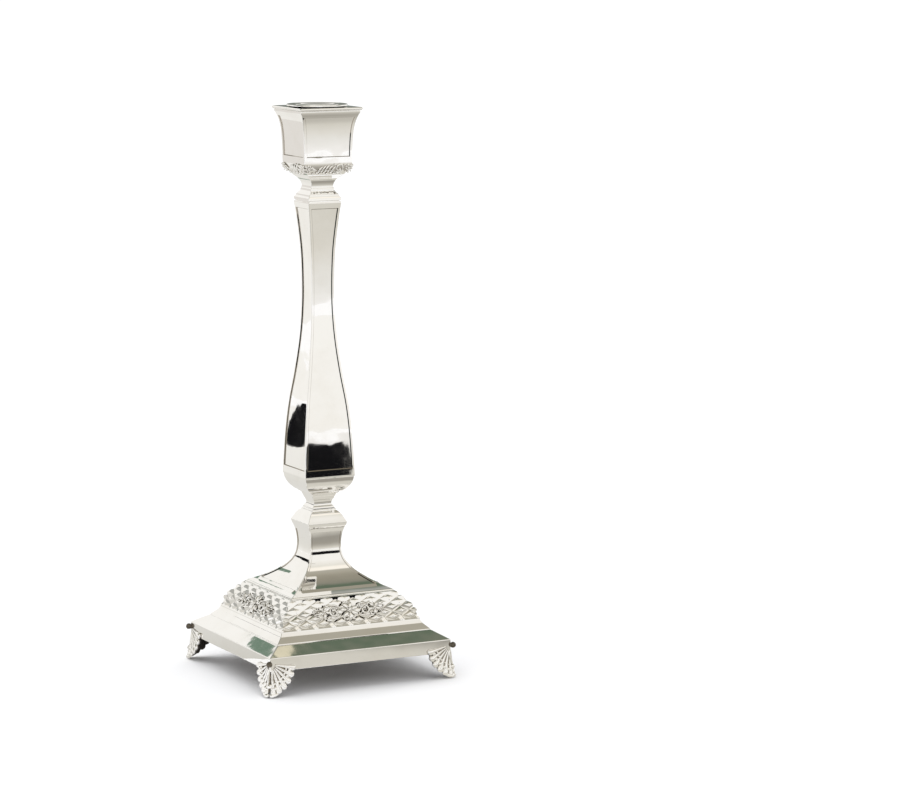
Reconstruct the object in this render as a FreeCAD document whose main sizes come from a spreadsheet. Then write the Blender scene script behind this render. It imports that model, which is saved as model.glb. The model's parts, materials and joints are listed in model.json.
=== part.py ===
import FreeCAD, Part
import math
import os
import Sketcher

# Square silver-plated candlestick: shell feet, plinth, quilted band, spire, baluster stem and flared
# cup, drawn together by a rod, with a lift-out round socket liner. Millimetres, +Z up, origin on the
# floor under the centre. Most pieces are square in plan: a moulding is given by half-widths and heights.

VECTOR = FreeCAD.Vector
UP = VECTOR(0, 0, 1)

# Half-width and height of each turn of the outline, from the floor up.
LEVELS = {
    "plinth_low": (48.8, 12.5),
    "plinth_edge": (48.8, 19.1),
    "slope_top": (41.4, 23.4),
    "step_break": (38.5, 27.0),
    "step_top": (37.4, 28.2),
    "band_bulge": (34.2, 36.7),
    "band_top": (27.9, 42.0),
    "spire_sweep": (14.0, 50.6),
    "spire_waist": (8.4, 63.0),
    "spire_flare": (8.8, 68.8),
    "spire_top": (10.2, 73.4),
    "collar_edge": (10.6, 74.9),
    "collar_shoulder": (9.0, 77.7),
    "collar_top": (6.6, 80.5),
    "neck_foot": (5.7, 82.5),
    "neck_waist": (4.8, 84.3),
    "neck_top": (6.6, 89.0),
    "ovolo_foot": (7.9, 89.6),
    "ovolo_bulge": (11.5, 93.1),
    "ovolo_top": (13.2, 98.2),
    "stem_low": (13.5, 98.9),
    "stem_belly": (12.9, 119.0),
    "stem_turn": (10.9, 137.5),
    "stem_hollow": (7.6, 162.0),
    "stem_slim": (6.1, 188.0),
    "stem_rise": (6.9, 215.0),
    "stem_top": (8.9, 233.8),
    "cap_edge": (8.8, 235.6),
    "cap_top": (6.2, 239.1),
    "cup_neck_slim": (5.8, 240.8),
    "cup_neck_top": (7.7, 245.2),
    "cup_turn": (11.7, 249.2),
    "cup_low": (12.9, 252.4),
    "cup_wall": (13.0, 261.0),
    "cup_flare": (13.8, 271.4),
    "cup_top": (15.9, 278.5),
}

SIZES = {
    "base_wall": 1.2,
    "flange": 3.0,
    "rod_gap": 2.5,
    "rod_radius": 2.0,
    "rod_hole": 2.15,
    "rod_low": 9.6,
    "plate_half": 47.5,
    "plate_low": 14.3,
    "plate_top": 15.5,
    "plate_ledge": 1.2,
    "washer_radius": 5.0,
    "washer_thick": 0.8,
    "nut_flats": 7.0,
    "nut_thick": 3.2,
    "stem_wall": 1.4,
    "stem_web": 1.6,
    "panel_depth": 0.4,
    "stem_border": 1.3,
    "stem_panel_low": 103.0,
    "stem_panel_top": 231.0,
    "cap_joint": 0.6,
    "cap_joint_inset": 0.7,
    "cup_wall_thick": 0.9,
    "cup_floor": 250.2,
    "cup_border": 1.7,
    "cup_panel_low": 256.2,
    "cup_panel_top": 275.6,
    "lip_half": 16.9,
    "lip_top": 280.0,
    "lip_hole": 12.1,
    "lip_round": 0.5,
    "liner_radius": 11.7,
    "liner_bore": 11.1,
    "liner_low": 255.6,
    "liner_floor": 0.8,
    "liner_seat": 0.1,
    "rim_radius": 15.0,
    "rim_thick": 1.1,
    "rim_throat": 0.7,
    "foot_top": 15.2,
    "foot_skin": 0.9,
    "foot_toe": 51.0,
    "foot_heel": 49.1,
    "foot_reach": 13.6,
    "foot_fan_edge": 12.6,
    "foot_fan_cheek": 4.6,
    "foot_fan_cheek_reach": 10.4,
    "foot_pad": 2.0,
    "foot_belly": 50.6,
    "foot_belly_height": 7.5,
    "stud_radius": 1.5,
    "stud_out": 49.5,
    "stud_height": 16.4,
    "garland_low": 249.6,
    "garland_top": 253.4,
    "garland_centre": 251.2,
    "garland_thick": 0.9,
    "garland_flowers": 5,
    "garland_pitch": 4.9,
    "garland_flower_radius": 3.0,
    "garland_flower_rise": 0.6,
    "spray_half": 19.5,
    "spray_thick": 1.1,
    "spray_leaf": 2.6,
    "spray_flower": 4.4,
    "spray_side_flower": 3.2,
    "spray_side": 13.5,
    "spray_centre": 35.0,
    "mitre_gap": 0.1,
}
for level, (half_width, height) in LEVELS.items():
    SIZES[level + "_w"] = half_width
    SIZES[level + "_z"] = height


def number(text):
    """Value of words such as 'plinth_low_w - base_wall'."""
    total = 0.0
    sign = 1.0
    for word in text.split():
        if word == "-":
            sign = -1.0
        elif word == "+":
            sign = 1.0
        else:
            total += sign * (SIZES[word] if word in SIZES else float(word))
            sign = 1.0
    return total


def bound(text):
    """The same words as an expression on the sheet."""
    return " ".join("Sizes." + word if word in SIZES else word for word in text.split())


def minus(text):
    """The words for the mirrored value."""
    swap = {"-": "+", "+": "-"}
    words = text.split()
    if words[0] == "-":
        words = words[1:]
        first = []
    else:
        first = ["-"]
    return " ".join(first + [swap.get(word, word) for word in words])


def make_sheet(doc):
    sheet = doc.addObject("Spreadsheet::Sheet", "Sizes")
    for row, (alias, value) in enumerate(SIZES.items(), start=1):
        sheet.set("A%d" % row, alias)
        sheet.set("B%d" % row, str(value))
        sheet.setAlias("B%d" % row, alias)
    doc.recompute()


def bind(obj, **texts):
    for prop, text in texts.items():
        obj.setExpression(prop, bound(text))


def pin_point(sketch, geometry, which, x_text, y_text):
    """Hold a point of the sketch at two sheet values."""
    for kind, text in (("DistanceX", x_text), ("DistanceY", y_text)):
        rank = sketch.addConstraint(Sketcher.Constraint(kind, -1, 1, geometry, which, number(text)))
        sketch.setExpression("Constraints[%d]" % rank, bound(text))


def add_side(sketch, spot, start, end):
    """One line or arc; says which of its ends are the start and the end on the outline."""
    if len(spot) == 2:
        sketch.addGeometry(Part.LineSegment(start, end), False)
        return (1, 2)
    middle = VECTOR(number(spot[2]), number(spot[3]), 0)
    if (middle - start).cross(end - middle).z > 0:
        sketch.addGeometry(Part.Arc(start, middle, end), False)
        return (1, 2)
    sketch.addGeometry(Part.Arc(end, middle, start), False)
    return (2, 1)


def draw_outline(sketch, outline):
    """Closed lines and arcs through the stations. A station is (x, y), or (x, y, through_x, through_y)
    when an arc leaves it and passes through the second point on its way to the next station."""
    spots = [VECTOR(number(spot[0]), number(spot[1]), 0) for spot in outline]
    sides = len(outline)
    ends = [add_side(sketch, spot, spots[side], spots[(side + 1) % sides])
            for side, spot in enumerate(outline)]
    for side, spot in enumerate(outline):
        onward = (side + 1) % sides
        sketch.addConstraint(Sketcher.Constraint("Coincident", side, ends[side][1], onward, ends[onward][0]))
        pin_point(sketch, side, ends[side][0], spot[0], spot[1])
        if len(spot) == 4:
            mark = sketch.addGeometry(Part.Point(VECTOR(number(spot[2]), number(spot[3]), 0)), True)
            pin_point(sketch, mark, 1, spot[2], spot[3])
            sketch.addConstraint(Sketcher.Constraint("PointOnObject", mark, 1, side))


def new_body(doc, label):
    body = doc.addObject("PartDesign::Body", label)
    body.Label = label
    return body


def new_sketch(body, name, role):
    sketch = body.newObject("Sketcher::SketchObject", name)
    plane = [item for item in body.Origin.OriginFeatures if item.Role == role][0]
    sketch.AttachmentSupport = [(plane, "")]
    sketch.MapMode = "FlatFace"
    return sketch


def add_feature(body, kind, name):
    feature = body.newObject("PartDesign::" + kind, name)
    body.Tip = feature
    return feature


def square_moulding(doc, label, outline):
    """Body of a closed section carried round a square and mitred at its corners."""
    body = new_body(doc, label)
    section = new_sketch(body, label + "_section", "XZ_Plane")
    draw_outline(section, outline)
    course = new_sketch(body, label + "_course", "XY_Plane")
    half = outline[0][0]
    course_outline = [(half, "0"), (half, half), (minus(half), half), (minus(half), minus(half)),
                      (half, minus(half))]
    draw_outline(course, course_outline)
    pipe = add_feature(body, "AdditivePipe", label + "_pipe")
    pipe.Profile = section
    pipe.Spine = (course, [])
    pipe.Transition = "Right corner"
    return body


def lifted_sketch(body, name, height_text):
    """Level sketch of a body at a height from the sheet."""
    sketch = new_sketch(body, name, "XY_Plane")
    sketch.setExpression("AttachmentOffset.Base.z", bound(height_text))
    return sketch


def station(level, shift="", through=""):
    """Station at a level, moved sideways by words such as '- base_wall'; an arc may leave it."""
    spot = (level + "_w " + shift, level + "_z")
    if through:
        spot += (through + "_w " + shift, through + "_z")
    return spot


def add_prism(doc, name, outline, quarter):
    """Solid of an upright outline, carried sideways both ways; quarter 0 faces -Y, 1 faces +X."""
    sketch = doc.addObject("Sketcher::SketchObject", name + "_outline")
    upright = FreeCAD.Rotation(VECTOR(1, 0, 0), 90)
    sketch.Placement = FreeCAD.Placement(VECTOR(), FreeCAD.Rotation(UP, 90 * quarter) * upright)
    draw_outline(sketch, outline)
    prism = doc.addObject("Part::Extrusion", name)
    prism.Base = sketch
    prism.DirMode = "Normal"
    prism.Solid = True
    prism.Symmetric = True
    bind(prism, LengthFwd="plinth_low_w + plinth_low_w + plinth_low_w")
    return prism


def mirrored(outline):
    """Right-hand side from the bottom up, closed by the same side turned over."""
    left = []
    for rank in range(len(outline) - 1, -1, -1):
        spot = (minus(outline[rank][0]), outline[rank][1])
        if rank and len(outline[rank - 1]) == 4:
            spot += (minus(outline[rank - 1][2]), outline[rank - 1][3])
        left.append(spot)
    return outline + left


def combine(doc, kind, name, base, tool):
    result = doc.addObject("Part::" + kind, name)
    result.Base = base
    result.Tool = tool
    return result


def squared(doc, name, outline):
    """Solid that is square in plan at every height."""
    return combine(doc, "Common", name, add_prism(doc, name + "_front", mirrored(outline), 0),
                   add_prism(doc, name + "_side", mirrored(outline), 1))


def add_box(doc, name, low, high):
    """Box between two corners given in sheet words."""
    box = doc.addObject("Part::Box", name)
    for axis, prop, low_text, high_text in zip("xyz", ("Length", "Width", "Height"), low, high):
        box.setExpression("Placement.Base." + axis, bound(low_text))
        box.setExpression(prop, "%s - (%s)" % (bound(high_text), bound(low_text)))
    return box


def add_slab(doc, name, low_text, high_text):
    """Level slab wider than the piece."""
    wide = "plinth_low_w"
    return add_box(doc, name, (minus(wide), minus(wide), low_text), (wide, wide, high_text))


def add_round(doc, name, radius_text, low_text, high_text):
    """Upright cylinder on the axis."""
    cylinder = doc.addObject("Part::Cylinder", name)
    cylinder.setExpression("Radius", bound(radius_text))
    cylinder.setExpression("Height", "%s - (%s)" % (bound(high_text), bound(low_text)))
    cylinder.setExpression("Placement.Base.z", bound(low_text))
    return cylinder


def drilled(doc, label, blank, low_text, high_text):
    """The piece with its clearance hole for the rod."""
    hole = add_round(doc, label + "_hole", "rod_hole", low_text, high_text)
    piece = combine(doc, "Cut", label, blank, hole)
    piece.Label = label
    return piece


def panelled(doc, name, outline_at, border, panel_low, panel_top):
    """Square baluster or cup whose four faces hold a sunk panel that follows the outline."""
    whole = squared(doc, name + "_whole", outline_at(""))
    core = squared(doc, name + "_core", outline_at("- panel_depth"))
    frame = whole
    for quarter, word in enumerate(("front", "side")):
        window = add_prism(doc, "%s_window_%s" % (name, word), mirrored(outline_at("- " + border)), quarter)
        slab = add_slab(doc, "%s_slab_%s" % (name, word), panel_low, panel_top)
        opening = combine(doc, "Common", "%s_opening_%s" % (name, word), window, slab)
        frame = combine(doc, "Cut", "%s_frame_%s" % (name, word), frame, opening)
    return combine(doc, "Fuse", name + "_panelled", frame, core)


def make_plinth(doc):
    ledge = "plinth_low_w - base_wall - plate_ledge"
    return square_moulding(doc, "plinth", [
        station("plinth_low"),
        station("plinth_edge"),
        station("slope_top"),
        station("slope_top", "- flange"),
        ("slope_top_w - flange", "slope_top_z - base_wall"),
        (ledge, "plinth_edge_z - base_wall"),
        (ledge, "plate_top"),
        ("plinth_low_w - base_wall", "plate_top"),
        station("plinth_low", "- base_wall"),
    ])


def make_base_step(doc):
    return square_moulding(doc, "base_step", [
        station("slope_top"),
        station("step_break"),
        station("step_top"),
        station("step_top", "- base_wall - base_wall"),
        ("step_top_w - base_wall - base_wall", "step_break_z - base_wall"),
        station("slope_top", "- flange"),
    ])


def band_outline(shift):
    return [station("step_top", shift, "band_bulge"), station("band_top", shift)]


def make_quilted_band(doc):
    whole = squared(doc, "quilted_band_whole", band_outline(""))
    hollow = squared(doc, "quilted_band_hollow", band_outline("- base_wall - base_wall"))
    band = combine(doc, "Cut", "quilted_band", whole, hollow)
    band.Label = "quilted_band"
    return band


def make_base_spire(doc):
    inner = "- base_wall"
    return square_moulding(doc, "base_spire", [
        station("band_top", "", "spire_sweep"),
        station("spire_waist", "", "spire_flare"),
        station("spire_top"),
        ("rod_gap", "spire_top_z"),
        ("rod_gap", "spire_top_z - base_wall"),
        ("spire_top_w - base_wall", "spire_top_z - base_wall"),
        station("spire_waist", inner) + ("spire_sweep_w - base_wall", "spire_sweep_z - base_wall"),
        station("band_top", inner + " - base_wall"),
    ])


def make_base_collar(doc):
    return square_moulding(doc, "base_collar", [
        station("spire_top"),
        station("collar_edge", "", "collar_shoulder"),
        station("collar_top"),
        station("neck_foot"),
        ("rod_gap", "neck_foot_z"),
        ("rod_gap", "spire_top_z"),
    ])


def make_stem_neck(doc):
    return square_moulding(doc, "stem_neck", [
        station("neck_foot", "", "neck_waist"),
        station("neck_top"),
        ("rod_gap", "neck_top_z"),
        ("rod_gap", "neck_foot_z"),
    ])


def make_stem_ovolo(doc):
    return square_moulding(doc, "stem_ovolo", [
        station("neck_top"),
        station("ovolo_foot", "", "ovolo_bulge"),
        station("ovolo_top"),
        station("stem_low"),
        ("rod_gap", "stem_low_z"),
        ("rod_gap", "neck_top_z"),
    ])


def stem_outline(shift):
    return [
        station("stem_low", shift, "stem_belly"),
        station("stem_turn", shift, "stem_hollow"),
        station("stem_slim", shift, "stem_rise"),
        station("stem_top", shift),
    ]


def make_stem(doc):
    blank = panelled(doc, "stem", stem_outline, "stem_border", "stem_panel_low", "stem_panel_top")
    room = squared(doc, "stem_room", stem_outline("- stem_wall"))
    reach = add_slab(doc, "stem_room_reach", "stem_low_z + stem_web", "stem_top_z - stem_web")
    cavity = combine(doc, "Common", "stem_cavity", room, reach)
    shell = combine(doc, "Cut", "stem_shell", blank, cavity)
    return drilled(doc, "stem", shell, "stem_low_z", "stem_top_z")


def make_stem_cap(doc):
    joint = "stem_top_w - cap_joint_inset"
    return square_moulding(doc, "stem_cap", [
        (joint, "stem_top_z"),
        (joint, "stem_top_z + cap_joint"),
        ("cap_edge_w", "stem_top_z + cap_joint"),
        station("cap_edge"),
        station("cap_top"),
        ("rod_gap", "cap_top_z"),
        ("rod_gap", "stem_top_z"),
    ])


def make_cup_neck(doc):
    return square_moulding(doc, "cup_neck", [
        station("cap_top", "", "cup_neck_slim"),
        station("cup_neck_top"),
        ("rod_gap", "cup_neck_top_z"),
        ("rod_gap", "cap_top_z"),
    ])


def cup_outline(shift):
    return [
        station("cup_neck_top", shift, "cup_turn"),
        station("cup_low", shift),
        station("cup_wall", shift, "cup_flare"),
        station("cup_top", shift),
    ]


def make_candle_cup(doc):
    blank = panelled(doc, "cup", cup_outline, "cup_border", "cup_panel_low", "cup_panel_top")
    room = squared(doc, "cup_room", cup_outline("- cup_wall_thick"))
    reach = add_slab(doc, "cup_room_reach", "cup_floor", "lip_top")
    cavity = combine(doc, "Common", "cup_cavity", room, reach)
    shell = combine(doc, "Cut", "cup_shell", blank, cavity)
    return drilled(doc, "candle_cup", shell, "cup_neck_top_z", "cup_floor")


def make_cup_lip(doc):
    body = new_body(doc, "cup_lip")
    plan = lifted_sketch(body, "cup_lip_plan", "cup_top_z")
    left = minus("lip_half")
    draw_outline(plan, [(left, left), ("lip_half", left), ("lip_half", "lip_half"), (left, "lip_half")])
    ring = plan.addGeometry(Part.Circle(VECTOR(), UP, number("lip_hole")), False)
    plan.addConstraint(Sketcher.Constraint("Coincident", ring, 3, -1, 1))
    radius = plan.addConstraint(Sketcher.Constraint("Radius", ring, number("lip_hole")))
    plan.setExpression("Constraints[%d]" % radius, bound("lip_hole"))
    pad = add_feature(body, "Pad", "cup_lip_pad")
    pad.Profile = plan
    bind(pad, Length="lip_top - cup_top_z")
    doc.recompute()
    rim_edges = ["Edge%d" % rank for rank, edge in enumerate(pad.Shape.Edges, start=1)
                 if edge.BoundBox.ZLength < 0.01 and max(edge.BoundBox.XLength, edge.BoundBox.YLength)
                 > 1.9 * number("lip_half")]
    fillet = add_feature(body, "Fillet", "cup_lip_round")
    fillet.Base = (pad, rim_edges)
    bind(fillet, Radius="lip_round")
    return body


def make_candle_liner(doc):
    body = new_body(doc, "candle_liner")
    section = new_sketch(body, "candle_liner_section", "XZ_Plane")
    seat = "lip_top + liner_seat"
    crown = seat + " + rim_thick"
    roll = SIZES["rim_thick"] / 2
    throat_reach = SIZES["rim_throat"] * (1 - math.sqrt(0.5))
    floor = "liner_low + liner_floor"
    draw_outline(section, [
        ("0", "liner_low"),
        ("liner_radius", "liner_low"),
        ("liner_radius", seat),
        ("rim_radius - %g" % roll, seat, "rim_radius", seat + " + %g" % roll),
        ("rim_radius - %g" % roll, crown),
        ("liner_bore + rim_throat", crown,
         "liner_bore + %g" % throat_reach, crown + " - %g" % throat_reach),
        ("liner_bore", crown + " - rim_throat"),
        ("liner_bore", floor),
        ("0", floor),
    ])
    turned = add_feature(body, "Revolution", "candle_liner_turned")
    turned.Profile = section
    turned.ReferenceAxis = (section, ["V_Axis"])
    turned.Angle = 360
    return body


def make_ring(doc, label, outer_text, low_text, high_text):
    blank = add_round(doc, label + "_blank", outer_text, low_text, high_text)
    return drilled(doc, label, blank, low_text, high_text)


def make_nut(doc, label, low_text):
    blank = doc.addObject("Part::Prism", label + "_blank")
    blank.Polygon = 6
    blank.setExpression("Circumradius", "Sizes.nut_flats / sqrt(3)")
    bind(blank, Height="nut_thick")
    blank.setExpression("Placement.Base.z", bound(low_text))
    return drilled(doc, label, blank, low_text, low_text + " + nut_thick")


def make_tie_rod(doc):
    rod = add_round(doc, "tie_rod", "rod_radius", "rod_low", "cup_floor + washer_thick + nut_thick + 0.6")
    rod.Label = "tie_rod"
    return rod


def make_base_plate(doc):
    half = "plate_half"
    low_corner = (minus(half), minus(half), "plate_low")
    blank = add_box(doc, "base_plate_blank", low_corner, (half, half, "plate_top"))
    return drilled(doc, "base_plate", blank, "plate_low", "plate_top")


def fan_waste(side):
    """What is cut away round one half of a shell foot; side words turn it to face either way."""
    edge = "plinth_low_w - foot_skin"
    far = "- foot_toe - foot_pad"
    outline = [
        (far, "- foot_pad"),
        (far, "plinth_edge_z"),
        (edge, "plinth_edge_z"),
        (edge, "foot_top"),
        ("plinth_low_w - foot_reach", "foot_fan_edge",
         "plinth_low_w - foot_fan_cheek_reach", "foot_fan_cheek"),
        ("plinth_low_w - foot_pad", "0"),
        ("plinth_low_w - foot_pad", "- foot_pad"),
    ]
    if side == "left":
        return [tuple(minus(text) if rank % 2 == 0 else text for rank, text in enumerate(spot))
                for spot in outline]
    return outline


def make_foot(doc, label, turn):
    body = square_moulding(doc, label, [
        ("foot_heel", "0"),
        ("foot_toe", "0", "foot_belly", "foot_belly_height"),
        ("plinth_low_w + foot_skin", "foot_top"),
        ("plinth_low_w", "foot_top"),
        ("plinth_low_w", "plinth_low_z"),
    ])
    for plane, side in (("XZ_Plane", "right"), ("YZ_Plane", "left")):
        waste = new_sketch(body, "%s_waste_%s" % (label, side), plane)
        draw_outline(waste, fan_waste(side))
        doc.recompute()
        pocket = add_feature(body, "Pocket", "%s_fan_%s" % (label, side))
        pocket.Profile = waste
        pocket.SideType = "Symmetric"
        bind(pocket, Length="foot_toe + foot_toe + foot_toe")
    body.Placement = FreeCAD.Placement(VECTOR(), FreeCAD.Rotation(UP, turn))
    return body


def make_foot_studs(doc):
    studs = []
    for corner in range(4):
        name = "stud_%d" % corner
        ball = doc.addObject("Part::Sphere", name + "_ball")
        bind(ball, Radius="stud_radius")
        ball.setExpression("Placement.Base.x", bound("stud_out"))
        ball.setExpression("Placement.Base.y", bound("- stud_out"))
        ball.setExpression("Placement.Base.z", bound("stud_height"))
        corner_box = add_box(doc, name + "_corner", ("rod_gap", "- plinth_low_w", "plinth_low_z"),
                             ("plinth_low_w", "rod_gap", "slope_top_z"))
        bared = combine(doc, "Cut", name + "_bared", ball, corner_box)
        foot_box = add_box(doc, name + "_foot", ("rod_gap", "- foot_toe", "plinth_low_z"),
                           ("foot_toe", "rod_gap", "foot_top"))
        stud = combine(doc, "Cut", name, bared, foot_box)
        stud.Placement = FreeCAD.Placement(VECTOR(), FreeCAD.Rotation(UP, 90 * corner))
        studs.append(stud)
    group = doc.addObject("Part::Compound", "foot_studs")
    group.Links = studs
    group.Label = "foot_studs"
    return group


def blossom(doc, name, radius_text, across_text, height_text, depth):
    """Upright disc that faces -Y, from near the axis out past the surface that it lies on."""
    near, far = depth
    disc = doc.addObject("Part::Cylinder", name)
    disc.setExpression("Radius", bound(radius_text))
    disc.setExpression("Height", "%s - (%s)" % (bound(far), bound(near)))
    disc.Placement = FreeCAD.Placement(VECTOR(), FreeCAD.Rotation(VECTOR(1, 0, 0), 90))
    disc.setExpression("Placement.Base.x", across_text)
    disc.setExpression("Placement.Base.y", bound(minus(near)))
    disc.setExpression("Placement.Base.z", bound(height_text))
    return disc


def add_quarter(doc, name):
    """Upright wedge that holds the front quarter of the plan, clear of the mitre lines."""
    sketch = doc.addObject("Sketcher::SketchObject", name + "_plan")
    far = "- plinth_low_w - mitre_gap"
    draw_outline(sketch, [("0", "- mitre_gap"), ("- plinth_low_w", far), ("plinth_low_w", far)])
    wedge = doc.addObject("Part::Extrusion", name)
    wedge.Base = sketch
    wedge.DirMode = "Normal"
    wedge.Solid = True
    bind(wedge, LengthFwd="lip_top")
    return wedge


def applied(doc, label, pieces, skin_outline, body_outline, turn):
    """Casting of some discs and a strip, as a skin over the face of a square piece."""
    pattern = doc.addObject("Part::MultiFuse", label + "_pattern")
    pattern.Shapes = pieces
    skin = squared(doc, label + "_skin", skin_outline)
    under = squared(doc, label + "_under", body_outline)
    sheet = combine(doc, "Cut", label + "_sheet", skin, under)
    quarter = combine(doc, "Common", label + "_quarter", sheet, add_quarter(doc, label + "_wedge"))
    piece = combine(doc, "Common", label, quarter, pattern)
    piece.Placement = FreeCAD.Placement(VECTOR(), FreeCAD.Rotation(UP, turn))
    piece.Label = label
    return piece


def make_cup_garland(doc, label, turn):
    depth = ("cup_neck_top_w", "lip_half")
    count = int(SIZES["garland_flowers"])
    pieces = [blossom(doc, "%s_flower_%d" % (label, rank), "garland_flower_radius",
                      "%g * Sizes.garland_pitch" % (rank - (count - 1) / 2), "garland_centre", depth)
              for rank in range(count)]
    half = "cup_low_w - garland_flower_rise"
    pieces.append(add_box(doc, label + "_strip", (minus(half), "- lip_half", "garland_low"),
                          (half, "- cup_neck_top_w", "garland_top")))
    return applied(doc, label, pieces, cup_outline("+ garland_thick"), cup_outline(""), turn)


def make_base_spray(doc, label, turn):
    depth = ("spire_sweep_w", "plinth_low_w")
    pieces = [blossom(doc, label + "_flower", "spray_flower", "0", "spray_centre", depth)]
    for side, word in ((-1, "left"), (1, "right")):
        pieces.append(blossom(doc, "%s_flower_%s" % (label, word), "spray_side_flower",
                              "%d * Sizes.spray_side" % side, "spray_centre", depth))
    pieces.append(add_box(doc, label + "_strip",
                          ("- spray_half", "- plinth_low_w", "spray_centre - spray_leaf"),
                          ("spray_half", "- spire_sweep_w", "spray_centre + spray_leaf")))
    return applied(doc, label, pieces, band_outline("+ spray_thick"), band_outline(""), turn)


def make_all(doc):
    pieces = [
        make_plinth(doc),
        make_base_step(doc),
        make_quilted_band(doc),
        make_base_spire(doc),
        make_base_collar(doc),
        make_stem_neck(doc),
        make_stem_ovolo(doc),
        make_stem(doc),
        make_stem_cap(doc),
        make_cup_neck(doc),
        make_candle_cup(doc),
        make_cup_lip(doc),
        make_candle_liner(doc),
        make_tie_rod(doc),
        make_ring(doc, "top_washer", "washer_radius", "cup_floor", "cup_floor + washer_thick"),
        make_nut(doc, "top_nut", "cup_floor + washer_thick"),
        make_base_plate(doc),
        make_ring(doc, "bottom_washer", "washer_radius", "plate_low - washer_thick", "plate_low"),
        make_nut(doc, "bottom_nut", "plate_low - washer_thick - nut_thick"),
        make_foot_studs(doc),
    ]
    for turn, corner in enumerate(("front_right", "back_right", "back_left", "front_left")):
        pieces.append(make_foot(doc, "foot_" + corner, 90 * turn))
    for turn, side in enumerate(("front", "right", "back", "left")):
        pieces.append(make_cup_garland(doc, "cup_garland_" + side, 90 * turn))
        pieces.append(make_base_spray(doc, "base_spray_" + side, 90 * turn))
    return pieces


def check_and_write(doc, pieces):
    doc.recompute()
    for item in doc.Objects:
        if "Invalid" in item.State or "Error" in item.State:
            raise RuntimeError("%s failed: %s" % (item.Name, item.State))
    for piece in pieces:
        if piece.Shape.isNull() or not piece.Shape.isValid() or not piece.Shape.Solids:
            raise RuntimeError(piece.Label + " has no valid solid")
    os.makedirs("parts", exist_ok=True)
    for piece in pieces:
        piece.Shape.exportStep("parts/%s.step" % piece.Label)
        print("%-20s %2d solid(s) %9.1f mm3" % (piece.Label, len(piece.Shape.Solids), piece.Shape.Volume))


document = FreeCAD.newDocument("candlestick")
make_sheet(document)
check_and_write(document, make_all(document))
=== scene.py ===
import bmesh
import bpy
import json
import math
from mathutils import Matrix, Vector

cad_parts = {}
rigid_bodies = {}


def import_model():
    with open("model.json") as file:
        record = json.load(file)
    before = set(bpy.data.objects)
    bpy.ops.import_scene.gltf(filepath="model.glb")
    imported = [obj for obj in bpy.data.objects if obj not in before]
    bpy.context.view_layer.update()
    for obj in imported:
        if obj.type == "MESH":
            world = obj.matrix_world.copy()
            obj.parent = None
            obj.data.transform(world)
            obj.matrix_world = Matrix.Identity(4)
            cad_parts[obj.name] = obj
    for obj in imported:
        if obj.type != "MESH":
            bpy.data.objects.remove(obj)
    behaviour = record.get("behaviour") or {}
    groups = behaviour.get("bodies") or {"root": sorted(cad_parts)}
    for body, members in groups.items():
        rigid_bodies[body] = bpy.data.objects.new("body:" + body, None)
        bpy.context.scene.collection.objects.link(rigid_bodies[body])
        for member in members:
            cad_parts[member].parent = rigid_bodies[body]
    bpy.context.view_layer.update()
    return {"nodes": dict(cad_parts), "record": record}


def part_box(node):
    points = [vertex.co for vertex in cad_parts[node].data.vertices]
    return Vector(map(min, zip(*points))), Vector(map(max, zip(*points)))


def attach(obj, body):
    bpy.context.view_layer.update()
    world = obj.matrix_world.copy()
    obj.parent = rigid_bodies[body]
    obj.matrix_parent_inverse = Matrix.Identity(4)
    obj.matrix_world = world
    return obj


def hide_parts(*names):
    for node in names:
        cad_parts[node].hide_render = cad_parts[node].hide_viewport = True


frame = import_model()

# A square silver candlestick: shell feet, plinth, quilted band with flower sprays, spire, panelled
# baluster stem, flared cup with a flower garland, and a round socket liner. Outlines are in
# millimetres, as (half-width, height); meshes are in metres.

MM = 0.001
ARRIS_ANGLE = 32.0
CASTING_ANGLE = 65.0
HOLLOW = "hollow"
SIDES = ("front", "right", "back", "left")
CORNERS = ("front_left", "front_right", "back_right", "back_left")


def low_high(node):
    """Lowest and highest level of a CAD node, in millimetres."""
    low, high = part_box(node)
    return low.z / MM, high.z / MM


def half_of(node):
    """Half the width of a CAD node, in millimetres."""
    low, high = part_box(node)
    return (high.x - low.x) / 2 / MM


PLINTH_LOW, PLINTH_TOP = low_high("plinth")
STEP_LOW, STEP_TOP = low_high("base_step")
BAND_LOW, BAND_TOP = low_high("quilted_band")
SPIRE_LOW, SPIRE_TOP = low_high("base_spire")
COLLAR_LOW, COLLAR_TOP = low_high("base_collar")
NECK_LOW, NECK_TOP = low_high("stem_neck")
OVOLO_LOW, OVOLO_TOP = low_high("stem_ovolo")
STEM_LOW, STEM_TOP = low_high("stem")
CAP_LOW, CAP_TOP = low_high("stem_cap")
CUP_NECK_LOW, CUP_NECK_TOP = low_high("cup_neck")
CUP_TOP = low_high("candle_cup")[1]
LIP_LOW, LIP_TOP = low_high("cup_lip")
LINER_LOW, LINER_TOP = low_high("candle_liner")
PLATE_TOP = low_high("base_plate")[1]

PLINTH_HALF = half_of("plinth")
STEP_HALF = half_of("base_step")
BAND_HALF = half_of("quilted_band")
SPIRE_HALF = half_of("base_spire")
COLLAR_HALF = half_of("base_collar")
OVOLO_HALF = half_of("stem_ovolo")
CUP_HALF = half_of("candle_cup")
LIP_HALF = half_of("cup_lip")
RIM_RADIUS = half_of("candle_liner")
LINER_RADIUS = 11.7
HOLE_RADIUS = 12.1
CUP_SHEET = 0.9
SLOPE_RUN, SLOPE_RISE = 7.4, 4.3


# ---------------------------------------------------------------- outlines

def mix(a, b, share):
    return tuple(p + (q - p) * share for p, q in zip(a, b))


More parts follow.
